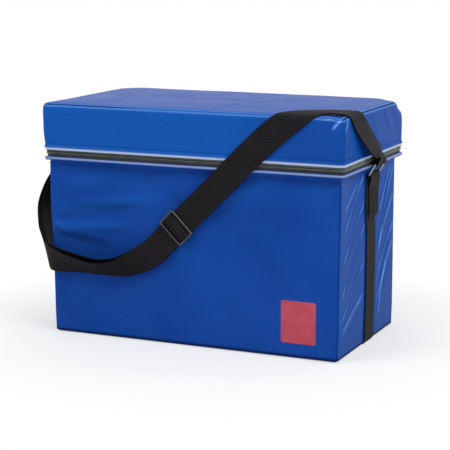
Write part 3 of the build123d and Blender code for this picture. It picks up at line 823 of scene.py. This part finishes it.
def strap_stations():
    """The whole strap, from its sewn loop at the right ring to its loop on the adjuster's bar."""
    bar_x, bar_z = right_bar
    lift = 1.5                            # of the strap's middle above the lid
    y, x = -80.0, 155.0                   # where it crosses the lid's right and front edges
    side_slip, front_slip = 0.868, 1.18   # how far it moves along an edge as it turns over it
    fold_steps = 4
    # teardrop loop round the right ring's bar
    run = [((bar_x + 2.4, 4, bar_z + 10.5), (0.1, -1, 0)),
           ((bar_x - 1.2, 7, bar_z + 5.0), (0, -1, 0))]
    run += loop(right_bar, [180, 225, 270, 315, 360], -1)
    run += [
        ((side_x + 9.0, webbing_y - 5, cut_height), (0.28, -0.96, 0)),
        ((side_x + 7.5, y + 66, bar_z + 21), (0.22, -0.93, -0.30)),
        ((side_x + 5.5, y + 37, lid_top - 36), (0.15, -0.85, -0.50)),
        ((side_x + 3.0, y + 20, lid_top - 21), (0.06, -0.95, -0.30)),
    ]
    cut_right = 7
    turn = lid_edge_radius + lift
    edge_x, edge_y, edge_z = (v - lid_edge_radius for v in (side_x, front_y, lid_top))
    bends = radians(90) * np.arange(fold_steps + 1) / fold_steps
    run += [((edge_x + turn * cos(a), y - side_slip * turn * (a - radians(45)),
              edge_z + turn * sin(a)), (0, -1, 0)) for a in bends]
    run += [((x - front_slip * turn * (a - radians(45)), -edge_y - turn * sin(a),
              edge_z + turn * cos(a)), (1, 0, 0)) for a in bends]
    run.append(((121.5, -front_y - lift - 0.5, lid_top - 29), (1, 0, 0)))
    cut_front = len(run)
    run += [
        ((84.0, -front_y - lift - 1.0, cut_height), (1, 0, 0)),
        ((52.0, -front_y - lift - 0.6, 234.0), (0.71, 0, -0.71)),
        ((20.0, -front_y - lift + 0.6, 203.0), (0.70, 0, -0.71)),
    ]
    over = 2.5
    hump = over + 1.7
    for along, back in ((-18, over), (-11, over), (-5, -over), (-2, -hump), (2, -hump), (5, -over),
                        (11, over), (18, over)):
        run.append(on_glide(along, back))
        if along == 2:
            cut_glide = len(run) - 1
    f, s = -half_depth, -half_width
    lower = [
        ((-49.5, f - 7.8, 134.0), (0.72, 0.08, -0.69)),
        ((-73.0, f - 14.0, 116.5), (0.50, 0.42, -0.75)),
        ((-99.0, f - 20.0, 105.5), (0.20, 0.70, -0.68)),
        ((-130.0, f - 22.0, 102.5), (0.00, 0.80, -0.60)),
        ((s + 47, f - 20.5, 105.5), (0.00, 0.70, -0.71)),
        ((s + 20, f - 19.0, 108.0), (0.02, 0.45, -0.89)),
        ((s + 0.5, f - 14.0, 111.0), (0.12, 0.18, -0.98)),
        ((s - 15, f + 2.5, 119.0), (0.25, 0.05, -0.97)),
        ((s - 34, f + 32, 139.0), (0.15, 0.60, -0.78)),
        ((s - 49, f + 60, 169.0), (0.06, 0.79, -0.61)),
        ((s - 47, f + 86, 202.0), (0.04, 0.84, -0.54)),
    ]
    turn_at = len(run) + len(lower) - 1
    first_lower = len(run) - 1
    run += lower
    left_x, left_z = left_bar
    run += [
        ((s - 35, f + 110, 229.0), (0.00, 0.95, -0.30)),
        ((left_x - loop_radius - 3, webbing_y - 1, left_z - 7), (0.00, 1.00, -0.05)),
    ]
    run += loop(left_bar, [180, 135, 90, 45, 0], 1)
    inner = left_x + loop_radius
    run += [((inner, webbing_y, left_z - 6), (0, 1, 0)),
            ((inner - 1, webbing_y - 1, left_z - 10.5), (0, 1, 0))]
    spacing = [2.1, 2.4, 3.2, 5.0, 6.5, 6.5, 5.5, 5.0, 6.5, 7.0, 7.0, 7.0]
    outer = run[first_lower:first_lower + len(spacing) + 1]
    back_run = []
    for i, gap in enumerate(spacing):
        centre, ruling = outer[i]
        way = np.subtract(outer[i + 1][0], outer[max(i - 1, 0)][0])
        back_run.append((centre + unit(np.cross(ruling, way)) * gap, ruling))
    cut_return = len(run) + 1
    run += reversed(back_run)
    run += [on_glide(8, 4.5), on_glide(3.4, 2.4)]
    run += [on_glide(2.5 * c, 2.5 * s) for c, s in turned([20, -35, -90, -145, 160])]
    return run, [0, cut_right, cut_front, cut_glide, turn_at, cut_return, len(run) - 1]


def shoulder_strap():
    """The strap in six pieces that meet edge to edge."""
    stations, cuts = strap_stations()
    centres, rulings, marks = smooth_path(stations)
    front, back, uv, along = webbing_grids(centres, rulings)
    names = ["strap_ring_end", "strap_over_lid_cloth", "strap_front_cloth", "strap_lower_cloth",
             "strap_left_end", "strap_return_cloth"]
    pieces = []
    for name, first, last in zip(names, cuts, cuts[1:]):
        rows = slice(marks[first], marks[last] + 1)
        piece = slab(name, front[rows], back[rows], "webbing", wrap=False, uv=uv[rows])
        pieces.append(piece)
    ring_end, over_lid, front_run, lower_run, left_end, return_run = pieces
    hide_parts("strap_over_lid")
    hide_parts("strap_front_run")
    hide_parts("strap_lower_run")
    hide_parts("strap_return_run")
    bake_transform(ring_end)
    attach(over_lid, "root")
    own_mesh(over_lid)
    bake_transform(front_run)
    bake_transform(lower_run)
    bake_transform(left_end)
    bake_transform(return_run)


def cradle():
    """Webbing from ring to ring under the base, looped and sewn back at each ring."""
    wall_x, groove_z = half_width + 1.0, webbing_thickness / 2
    bend = corner_radius + 1.0
    centre_x = half_width - corner_radius
    right = [((wall_x + 1.9, webbing_y + 5.0, 178), (0.02, 1, 0.04)),
             ((wall_x + 1.8, webbing_y + 5.5, 200), (0.03, 1, 0.05)),
             ((wall_x + 2.5, webbing_y + 4.0, 219), (0.05, 1, 0.03)),
             ((wall_x + 5.0, webbing_y + 1.5, 229), (0.02, 1, 0))]
    right += loop(ring_bar, [0, 45, 90, 135, 180], 1)
    right += [((wall_x, webbing_y + shift, z), (0, 1, 0)) for z, shift in (
        (222, -3.5), (196, -4.0), (160, 2.5), (122, 3.0), (84, 2.5), (46, 1.5), (18, 0.0))]
    right += [((centre_x + bend * c, webbing_y, corner_radius + bend * s), (0, 1, 0))
              for c, s in turned([0, -25, -49])]
    right += [((centre_x - in_from, webbing_y, groove_z), (0, 1, 0)) for in_from in (12, 60)]
    left = [((-c[0], c[1], c[2]), r) for c, r in reversed(right)]
    centres, rulings, _ = smooth_path(right + [((0, webbing_y, groove_z), (0, 1, 0))] + left, 2.5)
    centres[:, 2] = np.maximum(centres[:, 2], groove_z)
    front, back, uv, along = webbing_grids(centres, rulings, camber=0.0)
    webbing = slab("cradle_cloth", front, back, "webbing", wrap=False, uv=uv)
    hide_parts("cradle_webbing")
    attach(webbing, "root")
    tack_y, tack_z, reach = webbing_y + 1.5, 198, 14        # a crossed square of stitches
    for side, sign in (("right", 1), ("left", -1)):
        places, runs = [], []
        for t in np.linspace(-reach, reach, 9):
            for y, z, run in ((t, -reach, (0, 1, 0)), (t, reach, (0, 1, 0)), (-reach, t, (0, 0, 1)),
                              (reach, t, (0, 0, 1)), (t, t, (0, 0.707, 0.707)),
                              (t, -t, (0, 0.707, -0.707))):
                places.append(np.array([sign * (wall_x + 2.55), tack_y + y, tack_z + z]))
                runs.append(np.array(run, float))
        outs = [np.array([float(sign), 0, 0])] * len(places)
        tack = stitches(f"tack_{side}", places, runs, outs, "webbing", 0.36)
        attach(tack, "root")


# ---- materials ----
class Nodes:
    """The node tree of a material or world, with short calls for the nodes it uses."""

    def __init__(self, owner, shader="Principled BSDF"):
        owner.use_nodes = True
        self.owner, self.tree = owner, owner.node_tree
        self.shader = self.tree.nodes[shader]
        self.coordinates = self.new("TexCoord").outputs

    def new(self, kind, settings=None, **inputs):
        """A node with its settings, and with a value or a link on each named input."""
        node = self.tree.nodes.new("ShaderNode" + kind)
        for key, value in (settings or {}).items():
            setattr(node, key, value)
        self.fill(node, inputs)
        return node

    def fill(self, node, inputs):
        for key, value in inputs.items():
            self.put(value, node.inputs[key.replace("_", " ")])

    def put(self, value, socket):
        """A link or a value on a socket; a colour gets its alpha."""
        if isinstance(value, bpy.types.NodeSocket):
            self.tree.links.new(value, socket)
        elif isinstance(value, tuple):
            socket.default_value = (*value, 1)
        else:
            socket.default_value = value

    def set(self, **inputs):
        self.fill(self.shader, inputs)

    def math(self, operation, a, b=0.0):
        node = self.new("Math", {"operation": operation})
        self.put(a, node.inputs[0])
        self.put(b, node.inputs[1])
        return node.outputs[0]

    def times(self, a, b):
        return self.math("MULTIPLY", a, b)

    def wave(self, value, pitch):
        return self.math("SINE", self.times(value, 2 * pi / pitch))

    def noise(self, scale, detail=3.0, roughness=0.5):
        return self.new("TexNoise", Scale=scale, Detail=detail, Roughness=roughness,
                        Vector=self.coordinates["Object"]).outputs["Fac"]

    def axes(self, source="Object"):
        return self.new("SeparateXYZ", Vector=self.coordinates[source]).outputs

    def attribute(self, name):
        return self.new("Attribute", {"attribute_name": name}).outputs["Fac"]

    def mix(self, share, a, b):
        node = self.new("Mix", {"data_type": "RGBA"}, Factor=share)
        first, second = (s for s in node.inputs if s.type == "RGBA")
        self.put(a, first)
        self.put(b, second)
        return next(s for s in node.outputs if s.type == "RGBA")

    def ramp(self, value, low, high):
        """0 below low, 1 above high."""
        return self.new("MapRange", Value=value, From_Min=low, From_Max=high).outputs["Result"]

    def bump(self, height, distance, strength=1.0):
        node = self.new("Bump", Strength=strength, Distance=distance, Height=height)
        self.set(Normal=node.outputs[0])

    def rough(self, low, high, *noise):
        spread = self.new("MapRange", Value=self.noise(*noise), To_Min=low, To_Max=high)
        self.set(Roughness=spread.outputs["Result"])


def grain(n, pitch):
    """Plain weave on any face of the box: threads along the two axes that lie in the face."""
    total = 0.0
    for axis in n.axes():
        total = n.math("ADD", n.wave(axis, pitch), total)
    return total


def cover_finish(n):
    """Coated cloth: each tone is laid over the last, where its attribute says, by a share."""
    patches = n.ramp(n.noise(9.0, 2.0), 0.35, 0.65)
    tone = n.mix(patches, (0.0070, 0.055, 0.305), (0.0100, 0.067, 0.345))
    scuff = n.ramp(n.noise(95.0, 5.0, 0.65), 0.64, 0.80)
    for where, share, colour in (
        (scuff, 0.16, (0.030, 0.110, 0.420)),
        # painted light: lid walls lighter than its top, its front lighter than its right side,
        # highlights along the body's broad folds
        ("fresh", 1.0, (0.0080, 0.095, 0.420)),
        # painted shade: the walls that face right are painted darker and deeper blue
        ("deep", 0.8, (0.0005, 0.060, 0.315)),
        # painted highlight: pale lines on the fold ridges, the lid's corner pleats and beside its
        # top seam
        ("crease", 0.9, (0.210, 0.460, 0.980)),
        # painted highlight: pale lines along the rolled hem and the rolled lip
        ("edge", 1.0, (0.480, 0.590, 0.820)),
        # painted shade: dark in the seams at the corners, along the base, along the lid's top edge
        # and in the front's hollows
        ("seam", 1.0, (0.0015, 0.008, 0.045)),
    ):
        where = n.attribute(where) if isinstance(where, str) else where
        tone = n.mix(n.times(where, share), tone, colour)
    n.set(Specular_IOR_Level=0.022, Base_Color=tone)
    n.rough(0.26, 0.38, 26.0, 4.0)
    n.bump(n.math("ADD", n.times(grain(n, 0.0009), 0.10), n.noise(60.0, 3.0)), 0.0004, 0.35)


def webbing_finish(n):
    u, v, _ = n.axes("UV")
    across = n.wave(u, weave_across)
    along = n.math("ADD", n.times(v, 2 * pi / weave_along), n.times(across, 1.2))
    knit = n.times(across, n.math("SINE", along))
    # The weave is the webbing's own; its raised threads painted pale stand in for the webbing's
    # sheen, a painted highlight.
    tone = n.mix(n.ramp(knit, 0.50, 0.95), (0.0030, 0.0026, 0.0045), (0.105, 0.092, 0.085))
    worn = n.ramp(n.noise(40.0, 4.0), 0.55, 0.75)
    n.set(Specular_IOR_Level=0.06,
          Base_Color=n.mix(n.times(worn, 0.2), tone, (0.030, 0.028, 0.030)))
    n.rough(0.48, 0.72, 120.0, 2.0)
    n.bump(knit, 0.0004, 0.8)


def tape_finish(n):
    u, v, _ = n.axes("UV")
    twill = n.wave(n.math("ADD", u, v), 0.0011)
    n.set(Base_Color=n.mix(n.ramp(twill, -0.6, 0.9), (0.006, 0.006, 0.010), (0.022, 0.024, 0.034)))
    n.rough(0.6, 0.8, 200.0, 2.0)
    n.bump(twill, 0.0002, 0.6)


def label_finish(n):
    patches = n.ramp(n.noise(60.0, 3.0), 0.35, 0.65)
    n.set(Specular_IOR_Level=0.4,
          Base_Color=n.mix(patches, (0.46, 0.045, 0.075), (0.52, 0.062, 0.100)))
    n.rough(0.42, 0.58, 90.0, 3.0)
    n.bump(grain(n, 0.0011), 0.0003, 0.30)


def plain_finish(n, low, high, rough, scale, bump, **values):
    """Moulded, cast or film finish: two close tones, uneven gloss and a fine surface."""
    patches = n.ramp(n.noise(scale, 4.0), 0.35, 0.65)
    n.set(Base_Color=n.mix(patches, low, high), **values)
    n.rough(*rough, scale * 2.3, 3.0)
    n.bump(n.noise(scale * 6, 3.0), 0.0003, bump)


metal = {"Metallic": 1.0}
surfaces = [
    # slot and finish; for a plain one also two tones, least and most roughness, how fine its
    # unevenness is, and bump; then other values of the shader
    ("cover_fabric", cover_finish, {}),
    ("webbing", webbing_finish, {}),
    ("zip_tape", tape_finish, {}),
    ("label", label_finish, {}),
    ("zip_coil", plain_finish, (0.15, 0.18, 0.15), (0.23, 0.27, 0.23), (0.35, 0.5), 60, 0.2, {}),
    ("zip_metal", plain_finish, (0.42, 0.42, 0.42), (0.56, 0.56, 0.55), (0.22, 0.38), 90, 0.15,
     metal),
    ("ring_steel", plain_finish, (0.20, 0.195, 0.19), (0.27, 0.265, 0.26), (0.12, 0.28), 110, 0.1,
     metal),
    ("adjuster_plastic", plain_finish, (0.012, 0.012, 0.014), (0.026, 0.026, 0.029), (0.22, 0.36),
     130, 0.25, {"Specular_IOR_Level": 0.6}),
    ("liner", plain_finish, (0.56, 0.58, 0.60), (0.66, 0.68, 0.70), (0.30, 0.46), 18, 0.3, {}),
    ("insulation_foam", plain_finish, (0.74, 0.74, 0.72), (0.84, 0.84, 0.82), (0.75, 0.92), 240,
     0.8, {}),
]


def finish_surfaces():
    """Give every shown piece and every CAD node the material of its slot."""
    finishes = {}
    for name, finish, *looks, values in surfaces:
        n = Nodes(bpy.data.materials.new(name))
        finish(n, *looks, **values)
        finishes[name] = n.owner
    slots = {row["node"]: row["material_slot"] for row in frame["record"]["subparts"]}
    for obj in bpy.context.scene.objects:
        if obj.type != "MESH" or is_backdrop(obj):
            continue
        name = obj.get("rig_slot") or slots.get(obj.get("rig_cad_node", obj.name))
        if name in finishes:
            obj.data.materials.clear()
            obj.data.materials.append(finishes[name])
            obj.data.polygons.foreach_set("material_index", [0] * len(obj.data.polygons))


# ---- studio ----
def white_to_camera(n, white, output, share=None):
    """Mix in plain white for camera, glossy and transmission rays, by share where one is given."""
    path = n.new("LightPath").outputs
    seen = n.math("MAXIMUM", path["Is Camera Ray"], path["Is Glossy Ray"])
    seen = n.math("MAXIMUM", seen, path["Is Transmission Ray"])
    if share is not None:
        seen = n.math("MULTIPLY", seen, share)
    mix = n.new("MixShader")
    for source, socket in zip((seen, n.shader.outputs[0], white.outputs[0]), mix.inputs):
        n.put(source, socket)
    n.fill(n.tree.nodes[output], {"Surface": mix.outputs[0]})


def floor():
    """A pale floor that takes the box's shadow and is plain white farther out."""
    size = 8.0
    mesh = bpy.data.meshes.new("floor")
    mesh.from_pydata([(-size, -size, 0), (size, -size, 0), (size, size, 0), (-size, size, 0)], [],
                     [(0, 1, 2, 3)])
    add_object("floor", mesh)
    n = Nodes(bpy.data.materials.new("floor"))
    n.set(Base_Color=(0.86, 0.86, 0.88), Roughness=0.9)
    length = n.new("VectorMath", {"operation": "LENGTH"}, Vector=n.coordinates["Object"])
    share = n.new("MapRange", Value=length.outputs["Value"], From_Min=0.25, From_Max=0.45,
                  To_Min=0.55, To_Max=1.0)
    white_to_camera(n, n.new("Emission"), "Material Output", share.outputs["Result"])
    mesh.materials.append(n.owner)


def aim(obj, place, direction):
    obj.location = place
    obj.rotation_euler = direction.to_track_quat("-Z", "Y").to_euler()


def lights():
    """Soft daylight from the room, and four lamps."""
    bpy.context.scene.world = bpy.data.worlds.new("studio")
    n = Nodes(bpy.context.scene.world, "Background")
    n.set(Color=(0.97, 0.98, 1), Strength=0.25)
    white_to_camera(n, n.new("Background", Color=(1, 1, 1)), "World Output")
    for name, place, target, power, width in (
        ("key", (-1.3, -1.5, 1.9), (0, 0, 0.15), 30, 1.1),
        ("top", (0.1, 0.5, 2.3), (0, 0, 0.2), 11, 1.8),
        ("right", (1.6, -0.9, 1.9), (0, 0, 0.15), 30, 0.9),
        ("rim", (2.0, 1.2, 0.75), (0.2, 0, 0.15), 8, 0.6),
    ):
        light = bpy.data.lights.new(name, "AREA")
        light.energy, light.size = power, width
        aim(add_object(name, light), Vector(place), Vector(target) - Vector(place))


def camera():
    """The photograph's viewpoint: 24 degrees round to the right and 10 up, from 2.2 m."""
    azimuth, elevation, distance = radians(24.0), radians(10.15), 2.194
    back = Vector((sin(azimuth) * cos(elevation), -cos(azimuth) * cos(elevation), sin(elevation)))
    data = bpy.data.cameras.new("camera")
    data.sensor_width, data.lens = 36.0, 122.4
    data.shift_x, data.shift_y = -0.0007, -0.029
    obj = add_object("camera", data)
    aim(obj, Vector((0, 0, 0.170)) + back * distance, -back)
    bpy.context.scene.camera = obj
    bpy.context.scene.view_settings.view_transform = "Standard"


# ---- build ----
camera()
shoulder_strap()
cradle()
body_cover()
seam_piping()
lip_roll()
lid_cover()
lid_board()
edge_stitching("lip_stitches", "root", 8.0, 249.8)
edge_stitching("hem_stitches", "lid", 8.15, 273.2)
zip_tape("lower_tape", "lower_zip_tape", "root", 254.0, 260.5)
zip_tape("upper_tape", "upper_zip_tape", "lid", 261.5, 275.0)
zip_coil("lower_coil", "lower_zip_coil", "root", 259.38)
zip_coil("upper_coil", "upper_zip_coil", "lid", 262.62)
hinge_cloth()
liner("tub_liner", "liner_tub", "root", 3.3, -1.0, (259.7, -20.6, 8), (-22.1, 258, 27, 70),
      [(-21.7, 259.2, 0.7, -0.7), (-22.6, 25.6, 0.7, -0.7), (-24.5, 24.7, 0.0, -1.0)])
liner("lid_lining", "lid_liner", "lid", 5.9, 1.0, (262.3, -15.4, 7), (-16.9, 264, 305.5, 16),
      [(-16.5, 262.8, 0.7, 0.7), (-17.4, 307.3, 0.7, 0.7), (-19.4, 307.9, 0.0, 1.0)])
label()
finish_surfaces()
floor()
lights()
